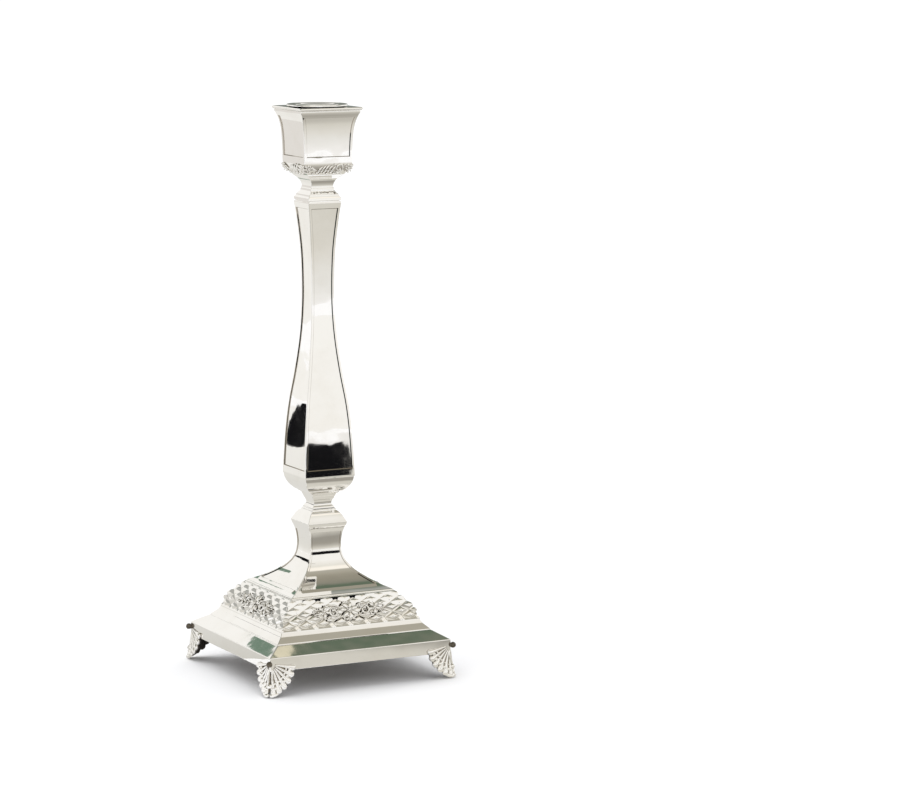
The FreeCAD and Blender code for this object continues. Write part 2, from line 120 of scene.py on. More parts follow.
def smooth_run(stations, pitch):
    """Even curve through the stations, with a ring about every pitch millimetres."""
    ends = [tuple(2 * p - q for p, q in zip(stations[0], stations[1]))]
    ends.append(tuple(2 * p - q for p, q in zip(stations[-1], stations[-2])))
    control = [ends[0]] + list(stations) + [ends[1]]
    run = []
    for rank in range(1, len(control) - 2):
        before, start, end, after = control[rank - 1:rank + 3]
        count = max(1, round(math.dist(start, end) / pitch))
        for step in range(count):
            t = step / count
            run.append(tuple(
                0.5 * (2 * b + (c - a) * t + (2 * a - 5 * b + 4 * c - d) * t * t
                       + (3 * b - a - 3 * c + d) * t ** 3)
                for a, b, c, d in zip(before, start, end, after)))
    run.append(tuple(stations[-1]))
    return run


def eased(runs, radius):
    """Joins the runs end to end and rounds each corner between two of them."""
    line = list(runs[0])
    for run in runs[1:]:
        corner = line.pop()
        before = line[-1]
        after = run[1]
        near = min(radius / max(math.dist(corner, before), 1e-6), 0.45)
        far = min(radius / max(math.dist(corner, after), 1e-6), 0.45)
        start = mix(corner, before, near)
        end = mix(corner, after, far)
        for t in (0.0, 0.25, 0.5, 0.75, 1.0):
            line.append(mix(mix(start, corner, t), mix(corner, end, t), t))
        line.extend(run[1:])
    return line


def outline(*runs, pitch=2.4, radius=0.3):
    """Outline of several runs: two stations make a straight one, more make a curve."""
    return eased([smooth_run(run, pitch) if len(run) > 2 else list(run) for run in runs], radius)


# ---------------------------------------------------------------- modelling

def only(*objects):
    bpy.ops.object.select_all(action="DESELECT")
    for obj in objects:
        obj.select_set(True)
    bpy.context.view_layer.objects.active = objects[0]


def name_new(name):
    """The primitive just added, under the piece's own name."""
    obj = bpy.context.object
    obj.name = name
    obj.data.name = name
    return obj


def edit(obj, mode="FACE"):
    only(obj)
    bpy.ops.object.mode_set(mode="EDIT")
    bpy.ops.mesh.select_mode(type=mode)


def leave():
    bpy.ops.object.mode_set(mode="OBJECT")


def pick(obj, kind, wanted):
    """Selects the faces or edges of a mesh in edit mode that pass a test."""
    cage = bmesh.from_edit_mesh(obj.data)
    bpy.ops.mesh.select_all(action="DESELECT")
    for item in getattr(cage, kind):
        if wanted(item):
            item.select_set(True)
    cage.select_flush_mode()
    bmesh.update_edit_mesh(obj.data)


def apply_modifier(obj, kind, **settings):
    only(obj)
    modifier = obj.modifiers.new(kind.title(), kind)
    for key, value in settings.items():
        setattr(modifier, key, value)
    bpy.ops.object.modifier_apply(modifier=modifier.name)


def smooth(obj, angle=ARRIS_ANGLE, weighted=True):
    only(obj)
    bpy.ops.object.shade_smooth_by_angle(angle=math.radians(angle))
    if weighted:
        apply_modifier(obj, "WEIGHTED_NORMAL", keep_sharp=True, weight=50)


def raised(name, rings, sides):
    """Carries a flat n-sided face up through the rings of an outline; sides 4 stands square."""
    spread = math.sqrt(2) if sides == 4 else 1.0
    turn = math.pi / 4 if sides == 4 else 0.0
    half, height = rings[0]
    bpy.ops.object.select_all(action="DESELECT")
    bpy.ops.mesh.primitive_circle_add(vertices=sides, radius=half * spread * MM, fill_type="NGON",
                                      location=(0, 0, height * MM), rotation=(0, 0, turn))
    obj = name_new(name)
    bpy.ops.object.transform_apply(location=True, rotation=True, scale=True)
    edit(obj)
    bpy.ops.mesh.select_all(action="SELECT")
    for next_half, next_height in rings[1:]:
        bpy.ops.mesh.extrude_region_move(
            TRANSFORM_OT_translate={"value": (0, 0, (next_height - height) * MM)})
        share = next_half / half
        bpy.ops.transform.resize(value=(share, share, 1), center_override=(0, 0, next_height * MM))
        half, height = next_half, next_height
    bpy.ops.mesh.select_all(action="SELECT")
    bpy.ops.mesh.normals_make_consistent(inside=False)
    leave()
    return obj


def soften_arrises(obj, width=0.3):
    """Rounds the four upright corners of a square piece."""
    def at_corner(edge):
        a, b = (vert.co for vert in edge.verts)
        square = all(abs(abs(point.x) - abs(point.y)) < 1e-6 for point in (a, b))
        return square and a.x * b.x > 0 and a.y * b.y > 0 and (a - b).length > 1e-7
    edit(obj, "EDGE")
    pick(obj, "edges", at_corner)
    bpy.ops.mesh.bevel(offset=width * MM, segments=3, profile=0.5, affect="EDGES", clamp_overlap=True)
    leave()


def square_piece(name, rings, arris=0.3):
    obj = raised(name, rings, 4)
    soften_arrises(obj, arris)
    return obj


def facing(face, side):
    """Whether a face of a square piece lies on the outside of one of its four broad sides."""
    out = Matrix.Rotation(side * math.pi / 2, 3, "Z") @ Vector((0, -1, 0))
    flat = Vector((face.normal.x, face.normal.y, 0))
    outside = face.calc_center_median().dot(out) > 0
    return outside and flat.length > 0.2 and flat.normalized().dot(out) > 0.999


def sink_panels(obj, low, high, border, depth, step, level=None):
    """Sinks a panel into each side between two levels, inside a border that follows the outline. Its
    sloping edge, step wide, is marked in the hollow attribute for painted shade on the edge wall."""
    obj.data.attributes.new(HOLLOW, "FLOAT", "FACE")
    for side in range(4):
        edit(obj)
        pick(obj, "faces", lambda face: facing(face, side)
             and low < face.calc_center_median().z / MM < high)
        bpy.ops.mesh.inset(thickness=border * MM, depth=0, use_even_offset=True)
        if level is not None:
            level(obj)
        bpy.ops.mesh.inset(thickness=step * MM, depth=-depth * MM, use_even_offset=True)
        leave()
        sunk = {face.index for face in obj.data.polygons if face.select}
        edit(obj)
        bpy.ops.mesh.select_more()
        leave()
        # Painted shade: the sloping edge faces of each panel are marked 1.0 and drawn dark by the silver
        # finish.
        mark = obj.data.attributes[HOLLOW]
        for face in obj.data.polygons:
            if face.select and face.index not in sunk:
                mark.data[face.index].value = 1.0


# ---------------------------------------------------------------- square pieces

def make_plinth():
    rim = 1.2
    rings = outline(
        [(PLINTH_HALF - rim, PLATE_TOP), (PLINTH_HALF - rim, PLINTH_LOW)],
        [(PLINTH_HALF - rim, PLINTH_LOW), (PLINTH_HALF, PLINTH_LOW)],
        [(PLINTH_HALF, PLINTH_LOW), (PLINTH_HALF, PLINTH_TOP - SLOPE_RISE)],
        [(PLINTH_HALF, PLINTH_TOP - SLOPE_RISE), (STEP_HALF + 0.4, PLINTH_TOP - 0.2)],
        [(STEP_HALF + 0.4, PLINTH_TOP - 0.2), (STEP_HALF, PLINTH_TOP)],
        [(STEP_HALF, PLINTH_TOP), (STEP_HALF - 3.0, PLINTH_TOP)],
        radius=0.35)
    return square_piece("plinth_tray", rings, 0.45)


def make_base_step():
    rings = outline(
        [(STEP_HALF, STEP_LOW), (STEP_HALF - 0.1, STEP_LOW + 0.35)],
        [(STEP_HALF - 0.1, STEP_LOW + 0.35), (STEP_HALF - 3.1, STEP_TOP - 1.65)],
        [(STEP_HALF - 3.1, STEP_TOP - 1.65), (BAND_HALF, STEP_TOP)],
        radius=0.2)
    return square_piece("base_moulding", rings, 0.3)


WAIST_HALF = 8.4
WAIST_BORDER = 0.9
BORDER_SPREAD = 0.075
SPIRE_STATIONS = [
    (SPIRE_HALF - 0.5, SPIRE_LOW + 0.7),
    (24.4, 44.0), (20.7, 46.05), (16.95, 48.5), (13.2, 51.4), (10.3, 55.1), (8.9, 58.6), (8.35, 62.6),
    (8.42, 66.0), (8.95, 69.8), (9.75, 72.4),
    (COLLAR_HALF - 0.4, SPIRE_TOP),
]


def make_base_spire():
    rings = outline(
        [(SPIRE_HALF - 2.0, SPIRE_LOW), (SPIRE_HALF, SPIRE_LOW)],
        [(SPIRE_HALF, SPIRE_LOW), SPIRE_STATIONS[0]],
        SPIRE_STATIONS,
        pitch=1.6, radius=0.35)
    spire = square_piece("spire", rings, 0.3)

    def narrow_to_waist(obj):
        """The border is wider on the broad foot than on the waist."""
        cage = bmesh.from_edit_mesh(obj.data)
        for vert in {vert for face in cage.faces if face.select for vert in face.verts}:
            broad = max(abs(vert.co.x), abs(vert.co.y))
            border = WAIST_BORDER * MM + BORDER_SPREAD * max(broad - WAIST_HALF * MM, 0)
            for axis in (0, 1):
                if abs(vert.co[axis]) < broad - 0.1 * MM:
                    vert.co[axis] = math.copysign(broad - border, vert.co[axis])
        bmesh.update_edit_mesh(obj.data)

    sink_panels(spire, 44.6, 71.6, border=WAIST_BORDER, depth=0.35, step=0.28, level=narrow_to_waist)
    return spire


def make_base_collar():
    rings = outline(
        [(COLLAR_HALF - 0.4, COLLAR_LOW), (COLLAR_HALF, COLLAR_LOW + 1.5)],
        [(COLLAR_HALF, COLLAR_LOW + 1.5), (9.8, 76.25), (8.9, 78.0), (7.8, 79.5), (6.6, 80.5)],
        [(6.6, 80.5), (6.5, 81.0)],
        [(6.5, 81.0), (6.05, 81.35)],
        [(6.05, 81.35), (6.0, 81.9)],
        [(6.0, 81.9), (5.7, COLLAR_TOP)],
        pitch=0.9, radius=0.14)
    return square_piece("base_knop", rings, 0.22)


def make_stem_neck():
    rings = outline(
        [(5.7, NECK_LOW), (4.9, 83.4), (4.75, 84.3), (4.95, 85.1), (5.3, 86.0)],
        [(5.3, 86.0), (5.55, 86.2)],
        [(5.55, 86.2), (5.9, 87.3), (6.3, 88.1)],
        [(6.3, 88.1), (6.6, NECK_TOP)],
        pitch=0.8, radius=0.14)
    return square_piece("stem_neck_moulding", rings, 0.22)


def make_stem_ovolo():
    rings = outline(
        [(6.6, OVOLO_LOW), (7.7, 89.5)],
        [(7.7, 89.5), (7.9, 89.9)],
        [(7.9, 89.9), (9.1, 90.5), (10.3, 91.6), (11.5, 93.0), (12.4, 94.7), (13.0, 96.4), (13.2, 97.9)],
        [(13.2, 97.9), (OVOLO_HALF, 98.3)],
        [(OVOLO_HALF, 98.3), (OVOLO_HALF, OVOLO_TOP)],
        pitch=1.0, radius=0.16)
    return square_piece("stem_ovolo_moulding", rings, 0.3)


STEM_STATIONS = [
    (OVOLO_HALF, STEM_LOW), (13.42, 101.05), (13.33, 104.0), (13.13, 109.0), (12.83, 115.0), (12.4, 122.0),
    (11.85, 128.5), (11.15, 135.0), (10.3, 141.0), (9.4, 147.0), (8.5, 154.0), (7.65, 161.5), (7.0, 168.5),
    (6.5, 176.0), (6.2, 184.0), (6.13, 192.0), (6.25, 201.0), (6.55, 209.5), (7.05, 216.5), (7.65, 223.0),
    (8.15, 227.9), (8.6, 231.45), (8.85, STEM_TOP - 0.5),
]


def make_stem():
    rings = outline(STEM_STATIONS, [STEM_STATIONS[-1], (8.6, STEM_TOP)], pitch=2.3, radius=0.2)
    stem = square_piece("stem_baluster", rings, 0.3)
    sink_panels(stem, 101.5, 231.0, border=0.9, depth=0.5, step=0.36)
    return stem


def make_stem_cap():
    rings = outline(
        [(8.1, CAP_LOW), (8.1, CAP_LOW + 0.55)],
        [(8.1, CAP_LOW + 0.55), (8.8, CAP_LOW + 0.6)],
        [(8.8, CAP_LOW + 0.6), (8.75, 235.6)],
        [(8.75, 235.6), (8.2, 236.3), (7.85, 237.3)],
        [(7.85, 237.3), (7.6, 237.5)],
        [(7.6, 237.5), (6.95, 238.2), (6.5, 238.9)],
        [(6.5, 238.9), (6.3, CAP_TOP)],
        pitch=0.7, radius=0.12)
    return square_piece("stem_cap_moulding", rings, 0.25)


def make_cup_neck():
    rings = outline(
        [(6.3, CUP_NECK_LOW), (6.3, 239.5)],
        [(6.3, 239.5), (6.25, 240.1), (5.95, 240.5)],
        [(5.95, 240.5), (5.8, 241.2), (6.0, 242.3), (6.4, 243.4), (7.0, 244.4), (7.7, CUP_NECK_TOP)],
        pitch=0.7, radius=0.14)
    return square_piece("cup_neck_moulding", rings, 0.25)


CUP_UNDERSIDE = [(7.7, 245.2), (8.9, 246.2), (10.2, 247.6), (11.4, 249.1), (12.4, 250.6), (12.85, 252.2)]
CUP_WALL = [
    (12.9, 252.9), (12.93, 254.8), (12.97, 258.2), (13.1, 262.5), (13.3, 266.5), (13.65, 270.2),
    (14.25, 273.2), (15.3, 276.3), (15.9, 277.5),
]


def make_candle_cup():
    floor = low_high("top_washer")[0]
    rings = outline(
        CUP_UNDERSIDE + [CUP_WALL[0]],
        CUP_WALL + [(CUP_HALF, CUP_TOP)],
        [(CUP_HALF, CUP_TOP), (CUP_HALF - CUP_SHEET, CUP_TOP)],
        [(CUP_HALF - CUP_SHEET, CUP_TOP), (13.0, 271.0), (12.1, 262.0), (12.0, 254.0), (11.3, floor)],
        pitch=2.0, radius=0.2)
    cup = square_piece("cup_body", rings, 0.3)
    sink_panels(cup, 255.2, 275.8, border=1.1, depth=0.45, step=0.33)
    return cup


def make_cup_lip():
    rings = outline(
        [(CUP_HALF - 0.7, LIP_LOW), (CUP_HALF, LIP_LOW)],
        [(CUP_HALF, LIP_LOW), (LIP_HALF - 0.35, LIP_LOW + 0.15), (LIP_HALF, LIP_LOW + 0.6)],
        [(LIP_HALF, LIP_LOW + 0.6), (LIP_HALF, LIP_TOP - 0.5)],
        [(LIP_HALF, LIP_TOP - 0.5), (LIP_HALF - 0.4, LIP_TOP)],
        [(LIP_HALF - 0.4, LIP_TOP), (LIP_HALF - 3.0, LIP_TOP)],
        pitch=0.5, radius=0.3)
    lip = square_piece("cup_lip_plate", rings, 0.6)
    bpy.ops.object.select_all(action="DESELECT")
    bpy.ops.mesh.primitive_cylinder_add(vertices=96, radius=HOLE_RADIUS * MM, depth=6 * MM,
                                        location=(0, 0, LIP_TOP * MM))
    punch = name_new("lip_punch")
    apply_modifier(lip, "BOOLEAN", object=punch, operation="DIFFERENCE", solver="EXACT")
    bpy.data.objects.remove(punch)
    return lip


def make_candle_liner():
    bore = frame["record"]["mounts"][0]["dims"]["r_mm"]
    seat = LIP_TOP + 0.1
    rings = outline(
        [(3.0, LINER_LOW), (10.9, LINER_LOW)],
        [(10.9, LINER_LOW), (LINER_RADIUS, LINER_LOW + 1.0)],
        [(LINER_RADIUS, LINER_LOW + 1.0), (LINER_RADIUS, seat)],
        [(LINER_RADIUS, seat), (RIM_RADIUS - 0.8, seat)],
        [(RIM_RADIUS - 0.8, seat), (RIM_RADIUS, seat + 0.35), (RIM_RADIUS - 0.15, LINER_TOP - 0.15),
         (RIM_RADIUS - 0.8, LINER_TOP), (RIM_RADIUS - 1.5, LINER_TOP - 0.25)],
        [(RIM_RADIUS - 1.5, LINER_TOP - 0.25), (bore + 0.9, LINER_TOP - 0.7)],
        [(bore + 0.9, LINER_TOP - 0.7), (bore + 0.25, LINER_TOP - 1.1), (bore, LINER_TOP - 2.0)],
        [(bore, LINER_TOP - 2.0), (bore, LINER_LOW + 1.6)],
        [(bore, LINER_LOW + 1.6), (bore - 0.8, LINER_LOW + 0.8)],
        [(bore - 0.8, LINER_LOW + 0.8), (2.0, LINER_LOW + 0.8)],
        pitch=0.4, radius=0.15)
    return raised("socket_liner", rings, 96)


# ---------------------------------------------------------------- quilted band

BAND_STATIONS = [
    (BAND_HALF, BAND_LOW), (37.2, 30.2), (36.75, 32.15), (35.9, 34.1), (34.7, 36.05), (33.15, 37.8),
    (31.4, 39.45), (29.6, 40.95), (SPIRE_HALF, BAND_TOP),
]
BAND_RELIEF = 1.1
PAD_WIDTH = 9.35
PAD_HEIGHT = 5.5
PAD_ROOT = 0.4
PAD_RINGS = ((0.92, 0.13), (0.62, 0.52), (0.34, 0.27), (0.12, 0.08))


class Section:
    """The curved section of a square piece, walked from its foot by length along the curve."""

    def __init__(self, stations):
        self.points = smooth_run(stations, 0.5)
        self.lengths = [0.0]
        for start, end in zip(self.points, self.points[1:]):
            self.lengths.append(self.lengths[-1] + math.dist(start, end))
        self.length = self.lengths[-1]

    def at(self, along):
        """Half-width, height and outward direction at a length along the section."""
        rank = 0
        while rank < len(self.points) - 2 and self.lengths[rank + 1] < along:
            rank += 1
        start, end = self.points[rank], self.points[rank + 1]
        span = self.lengths[rank + 1] - self.lengths[rank]
        half, height = mix(start, end, (along - self.lengths[rank]) / span)
        before = self.points[max(rank - 1, 0)]
        after = self.points[min(rank + 2, len(self.points) - 1)]
        run = math.dist(before, after)
        return half, height, (after[1] - before[1]) / run, (before[0] - after[0]) / run

    def laid(self, point):
        """Place on the front face, in metres, of a flat point: across, along and proud."""
        half, height, out, up = self.at(point.y)
        return Vector((point.x, -(half + point.z * out), height + point.z * up)) * MM


def lay_on(obj, section):
    """Lays a piece modelled flat, in millimetres, on a section of the front face."""
    for vert in obj.data.vertices:
        vert.co = section.laid(vert.co)


def turned_copy(obj, name, quarter):
    """A copy with its own mesh, turned about the candlestick's axis by quarters."""
    copy = obj.copy()
    copy.data = obj.data.copy()
    copy.name = copy.data.name = name
    bpy.context.scene.collection.objects.link(copy)
    copy.data.transform(Matrix.Rotation(quarter * math.pi / 2, 4, "Z"))
    return copy


def joined(name, pieces):
    """One mesh of several, under the name given."""
    only(*pieces)
    if len(pieces) > 1:
        bpy.ops.object.join()
    return name_new(name)


def moved_copy(obj, x, y):
    copy = obj.copy()
    copy.data = obj.data.copy()
    bpy.context.scene.collection.objects.link(copy)
    copy.data.transform(Matrix.Translation((x, y, 0)))
    return copy


def cut(obj, point, normal):
    """Cuts away what lies beyond a plane and closes the cut."""
    edit(obj)
    bpy.ops.mesh.select_all(action="SELECT")
    bpy.ops.mesh.bisect(plane_co=point, plane_no=normal, use_fill=True, clear_outer=True)
    leave()


def make_pad():
    """One lozenge of the quilting, a rounded pyramid, modelled flat in millimetres."""
    bpy.ops.object.select_all(action="DESELECT")
    bpy.ops.mesh.primitive_circle_add(vertices=4, radius=1, fill_type="NGON",
                                      location=(0, 0, -PAD_ROOT))
    pad = name_new("pad")
    bpy.ops.object.transform_apply(location=True)
    edit(pad)
    bpy.ops.mesh.select_all(action="SELECT")
    bpy.ops.transform.resize(value=(PAD_WIDTH / 2, PAD_HEIGHT / 2, 1))
    bpy.ops.mesh.select_mode(type="EDGE")
    bpy.ops.mesh.select_all(action="SELECT")
    bpy.ops.mesh.subdivide(number_cuts=3)
    bpy.ops.mesh.select_mode(type="FACE")
    bpy.ops.mesh.select_all(action="SELECT")
    bpy.ops.mesh.extrude_region_move(TRANSFORM_OT_translate={"value": (0, 0, PAD_ROOT)})
    last = 1.0
    for share, rise in PAD_RINGS:
        bpy.ops.mesh.extrude_region_move(
            TRANSFORM_OT_translate={"value": (0, 0, rise * BAND_RELIEF)})
        bpy.ops.transform.resize(value=(share / last, share / last, 1))
        last = share
    leave()
    return pad


def make_quilted_band():
    section = Section(BAND_STATIONS)
    pad = make_pad()
    pads = []
    rows = int(section.length / (PAD_HEIGHT / 2)) + 2
    columns = int(BAND_HALF / PAD_WIDTH) + 1
    for row in range(rows):
        shift = PAD_WIDTH / 2 * (row % 2)
        for column in range(-columns - 1, columns + 1):
            pads.append(moved_copy(pad, column * PAD_WIDTH + shift, row * PAD_HEIGHT / 2))
    bpy.data.objects.remove(pad)
    face = joined("quilting", pads)
    edge = 0.35
    cut(face, (0, edge, 0), (0, -1, 0))
    cut(face, (0, section.length - edge, 0), (0, 1, 0))
    face.data.transform(Matrix.Translation((0, 0, -BAND_RELIEF)))
    lay_on(face, section)
    cut(face, (0, 0, 0), (1, 1, 0))
    cut(face, (0, 0, 0), (-1, 1, 0))
    faces = [turned_copy(face, "quilting", quarter) for quarter in range(1, 4)]
    sunk = [(half - BAND_RELIEF * out, height - BAND_RELIEF * up)
            for half, height, out, up in (section.at(section.length * share / 10)
                                          for share in range(11))]
    rings = ([(BAND_HALF - 3, BAND_LOW), (BAND_HALF, BAND_LOW), (BAND_HALF - 0.05, BAND_LOW + 0.35)]
             + sunk[1:-1]
             + [(SPIRE_HALF + 0.5, BAND_TOP - 0.35), (SPIRE_HALF, BAND_TOP), (SPIRE_HALF - 3, BAND_TOP)])
    core = square_piece("quilting_core", rings, 0.2)
    return joined("quilted_moulding", [core, face] + faces)


# ---------------------------------------------------------------- cast ornament
# Each casting is modelled flat in millimetres (across, up, proud) and then laid on its place.

BEAD_FLATNESS = 0.8


def heading(start, end):
    """Bearing from one flat point to another."""
    return math.atan2(end[1] - start[1], end[0] - start[0])


def drawn(path, sizes, flat=0.85, sides=8, proud=0.0):
    """A round-backed rib: an oval drawn along a flat path, swelling to each of the sizes."""
    start = heading(path[0], path[1])
    bpy.ops.object.select_all(action="DESELECT")
    bpy.ops.mesh.primitive_circle_add(vertices=sides, radius=sizes[0], fill_type="NGON",
                                      rotation=(math.pi / 2, 0, start + math.pi / 2))
    rib = name_new("rib")
    bpy.ops.object.transform_apply(rotation=True)
    edit(rib)
    bpy.ops.mesh.select_all(action="SELECT")
    bpy.ops.transform.resize(value=(1, 1, flat))
    bpy.ops.transform.translate(value=(path[0][0], path[0][1], proud))
    way = start
    for rank in range(1, len(path)):
        here, last = path[rank], path[rank - 1]
        bpy.ops.mesh.extrude_region_move(
            TRANSFORM_OT_translate={"value": (here[0] - last[0], here[1] - last[1], 0)})
        onward = heading(last, path[rank + 1]) if rank < len(path) - 1 else heading(last, here)
        turn = math.remainder(onward - way, 2 * math.pi)
        centre = (here[0], here[1], proud)
        bpy.ops.transform.rotate(value=-turn, orient_axis="Z", center_override=centre)
        share = sizes[rank] / sizes[rank - 1]
        bpy.ops.transform.resize(value=(share, share, share), center_override=centre)
        way = onward
    leave()
    return rib


def leaf(start, end, width, bow=0.0, flat=0.85, proud=0.0):
    """A pointed leaf from start to end, bowed aside."""
    across = (start[1] - end[1], end[0] - start[0])
    path = []
    for t in (0.0, 0.12, 0.32, 0.55, 0.78, 0.93, 1.0):
        aside = 4 * bow * t * (1 - t)
        path.append(tuple(a + (b - a) * t + c * aside for a, b, c in zip(start, end, across)))
    swell = (0.25, 0.62, 0.95, 1.0, 0.78, 0.42, 0.1)
    return drawn(path, [width * share for share in swell], flat, proud=proud)


def bead(x, y, radius, proud=0.0):
    bpy.ops.object.select_all(action="DESELECT")
    bpy.ops.mesh.primitive_uv_sphere_add(segments=12, ring_count=7, radius=radius)
    ball = name_new("bead")
    edit(ball)
    bpy.ops.mesh.select_all(action="SELECT")
    bpy.ops.transform.resize(value=(1, 1, BEAD_FLATNESS))
    bpy.ops.transform.translate(value=(x, y, proud))
    leave()
    return ball


def around(obj, x, y, count, turn=0.0):
    """Copies of a piece modelled about the origin, ringed about a point."""
    ring = []
    for rank in range(count):
        copy = moved_copy(obj, 0, 0)
        copy.data.transform(Matrix.Translation((x, y, 0))
                            @ Matrix.Rotation(turn + rank * 2 * math.pi / count, 4, "Z"))
        ring.append(copy)
    bpy.data.objects.remove(obj)
    return ring


def flower(x, y, radius, petals=6, turn=0.3):
    """A rosette: rounded petals about a beaded heart."""
    petal = drawn([(0.22 * radius, 0), (0.4 * radius, 0), (0.62 * radius, 0), (0.82 * radius, 0),
                   (0.95 * radius, 0), (1.0 * radius, 0)],
                  [share * radius for share in (0.10, 0.19, 0.26, 0.25, 0.15, 0.04)], 0.8, proud=0.12)
    pip = bead(0.27 * radius, 0, 0.085 * radius, 0.19 * radius)
    return (around(petal, x, y, petals, turn) + around(pip, x, y, 7)
            + [bead(x, y, 0.2 * radius, 0.2 * radius)])


def scroll(x, y, radius, start, sweep, thick, bud=0.5):
    """A C-scroll curling in to a bud, as a rib along a tightening curve."""
    path = []
    sizes = []
    for rank in range(13):
        t = rank / 12
        angle = start + sweep * t
        reach = radius * (1 - 0.62 * t)
        path.append((x + reach * math.cos(angle), y + reach * math.sin(angle)))
        sizes.append(thick * (0.2 + 0.8 * math.sin(math.pi * min(0.12 + t, 1.0) * 0.82)))
    end = path[-1]
    return [drawn(path, sizes, 1.0), bead(end[0], end[1], bud)]


def frond(root, tip, width, lobes, bow=0.0, side=1):
    """A leaf with short lobes along one side of its rib."""
    parts = [leaf(root, tip, width, bow)]
    way = heading(root, tip)
    for rank in range(lobes):
        t = 0.2 + 0.6 * rank / max(lobes - 1, 1)
        at = mix(root, tip, t)
        reach = width * 3.4 * (1 - 0.4 * t)
        lean = way + side * 0.95
        parts.append(leaf(at, (at[0] + reach * math.cos(lean), at[1] + reach * math.sin(lean)),
                          width * 0.7, 0.1 * side))
    return parts


def shade_hollows(obj, low, high):
    """Marks how deep each point of a flat casting lies, for the dark finish in the hollows."""
    mark = obj.data.attributes.new(HOLLOW, "FLOAT", "POINT")
    depth = [min(max((high - vert.co.z) / (high - low), 0.0), 1.0) for vert in obj.data.vertices]
    mark.data.foreach_set("value", depth)


def finish_casting(obj, low, high):
    """Softens a flat casting and marks its hollows, from dark at low to bright at high."""
    apply_modifier(obj, "SUBSURF", levels=1, render_levels=1)
    shade_hollows(obj, low, high)
    edit(obj)
    bpy.ops.mesh.select_all(action="SELECT")
    bpy.ops.mesh.normals_make_consistent(inside=False)
    leave()


def mirrored_parts(parts):
    """The parts and their mirror images, left for right."""
    twins = []
    for part in parts:
        twin = moved_copy(part, 0, 0)
        twin.data.transform(Matrix.Scale(-1, 4, (1, 0, 0)))
        twin.data.flip_normals()
        twins.append(twin)
    return parts + twins


def place_four(first, name, node, spots=SIDES):
    """Four copies of a casting, a quarter turn apart, each under its CAD node's name."""
    placed = {}
    for quarter, spot in enumerate(spots):
        piece = turned_copy(first, f"{name}_{spot}", quarter)
        smooth(piece, CASTING_ANGLE, weighted=False)
        placed[f"{node}_{spot}"] = piece
    bpy.data.objects.remove(first)
    return placed


def make_spray(section):
    """Flower spray across the quilting: a large rosette, scrolls and leaves, and a smaller rosette
    to each side."""
    half = mirrored_parts(
        flower(13.6, 0.2, 3.3, 5, 0.9)
        + scroll(8.4, -0.5, 2.9, math.radians(150), math.radians(-430), 0.62, 0.75)
        + frond((4.4, 1.9), (10.6, 3.4), 0.55, 4, 0.12, -1)
        + frond((4.6, -2.2), (11.2, -3.5), 0.52, 3, -0.1, 1)
        + frond((15.9, 1.2), (19.3, 2.6), 0.5, 2, -0.1, 1)
        + frond((16.0, -0.8), (19.4, -1.5), 0.5, 3, 0.12, -1)
        + [leaf((10.6, 2.0), (12.6, 4.0), 0.6, 0.15), leaf((11.0, -2.0), (12.9, -3.9), 0.6, -0.15),
           bead(18.9, 0.7, 0.6), bead(6.1, 0.1, 0.55)])
    crown = [leaf((0.9 * side, 3.8), (2.3 * side, 5.3), 0.6, 0.1 * side) for side in (-1, 1)]
    crown += [leaf((1.1 * side, -3.6), (2.7 * side, -5.0), 0.6, -0.1 * side) for side in (-1, 1)]
    spray = joined("spray", half + crown + flower(0, 0, 4.8, 7))
    spray.data.transform(Matrix.Translation((0, section.length * 0.47, 0.0)))
    finish_casting(spray, -0.45, 0.5)
    lay_on(spray, section)
    return spray


def make_sprays():
    spray = make_spray(Section(BAND_STATIONS))
    return place_four(spray, "flower_spray", "base_spray")


GARLAND_SECTION = [
    (9.9, 247.2), (11.3, 248.9), (12.35, 250.5), (12.85, 252.2), (12.92, 254.8), (12.95, 256.6),
]


def make_garland(section):
    """Flower garland round the shoulder of the cup: leaves and scrolls with a beaded flower at
    each corner, its edge hanging in scallops."""
    parts = []
    for side in (-1, 1):
        heart = 10.7 * side
        parts += around(bead(1.15, 0, 0.52, 0.15), heart, 4.4, 7) + [bead(heart, 4.4, 0.62, 0.35)]
        parts += [bead(12.3 * side, y, 0.55, 0.1) for y in (2.6, 3.9, 5.3)]
        parts += [bead((12.2 - 1.25 * step) * side, 1.6 + 0.35 * step, 0.6) for step in range(3)]
    parts += scroll(5.9, 4.2, 2.5, math.radians(250), math.radians(420), 0.55, 0.7)
    parts += frond((7.9, 2.2), (3.6, 1.4), 0.5, 4, 0.1, -1)
    for rank in range(5):
        x = -5.2 + 1.75 * rank
        parts.append(leaf((x, 1.1 + 0.5 * (rank % 2)), (x + 2.3, 5.9 - 0.35 * abs(rank - 2)), 0.62, 0.12))
    for rank in range(9):
        x = -7.6 + 1.85 * rank
        parts.append(bead(x, 1.15 + 0.55 * (rank % 2), 0.72, 0.0))
    parts += frond((-5.6, 3.0), (-8.9, 5.2), 0.5, 3, 0.12, 1)
    parts += [bead(-7.3, 3.6, 0.6), bead(8.6, 5.6, 0.5), bead(3.3, 5.9, 0.5)]
    garland = joined("garland", parts)
    garland.data.transform(Matrix.Translation((0, -0.2, 0.15)) @ Matrix.Diagonal((1, 1.06, 1.6, 1)))
    finish_casting(garland, -0.3, 0.65)
    lay_on(garland, section)
    cut(garland, (0, 0, 0), (1, 1, 0))
    cut(garland, (0, 0, 0), (-1, 1, 0))
    return garland


def make_garlands():
    return place_four(make_garland(Section(GARLAND_SECTION)), "flower_garland", "cup_garland")


# ---------------------------------------------------------------- feet

